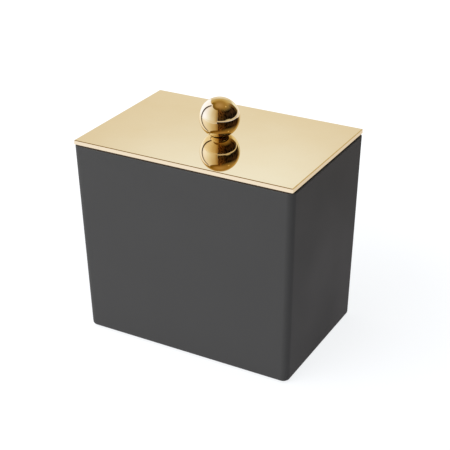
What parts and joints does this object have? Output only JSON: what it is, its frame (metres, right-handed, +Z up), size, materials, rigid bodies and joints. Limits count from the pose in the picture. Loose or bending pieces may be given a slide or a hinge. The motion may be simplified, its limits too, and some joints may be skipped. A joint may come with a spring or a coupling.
{
  "type": "lidded vanity box",
  "caption": "Deep rectangular vanity box for cotton pads, drafted and round-cornered, with a flat polished metal lid that lifts off by a ball knob.",
  "frame": {"origin": "on the surface that the box stands on, under the centre of the box", "axes": "+Z up, X along the long side, Y along the short side; the front face looks along -Y"},
  "size_m": [0.13, 0.088, 0.1363],
  "materials": {
    "resin": "matte cast resin, charcoal grey",
    "lid_metal": "polished gold plate",
    "knob_metal": "polished gold ball",
    "insert": "black moulded plastic, fine spark texture",
    "gasket": "black silicone",
    "adhesive": "acrylic adhesive film",
    "fastener": "bright zinc plated steel",
    "foot": "soft matte silicone"
  },
  "bodies": {
    "tub": {"tub": "resin", "foot_front_left": "foot", "foot_front_right": "foot", "foot_back_left": "foot", "foot_back_right": "foot"},
    "lid": {"lid_plate": "lid_metal", "lid_gasket": "gasket", "lid_insert": "insert", "lid_adhesive": "adhesive", "knob": "knob_metal", "knob_washer": "fastener", "knob_screw": "fastener"}
  },
  "joints": [
    {"name": "lid_lift", "type": "slide", "parent": "tub", "child": "lid", "axis": [0, 0, 1], "range_m": [0, 0.1]}
  ]
}
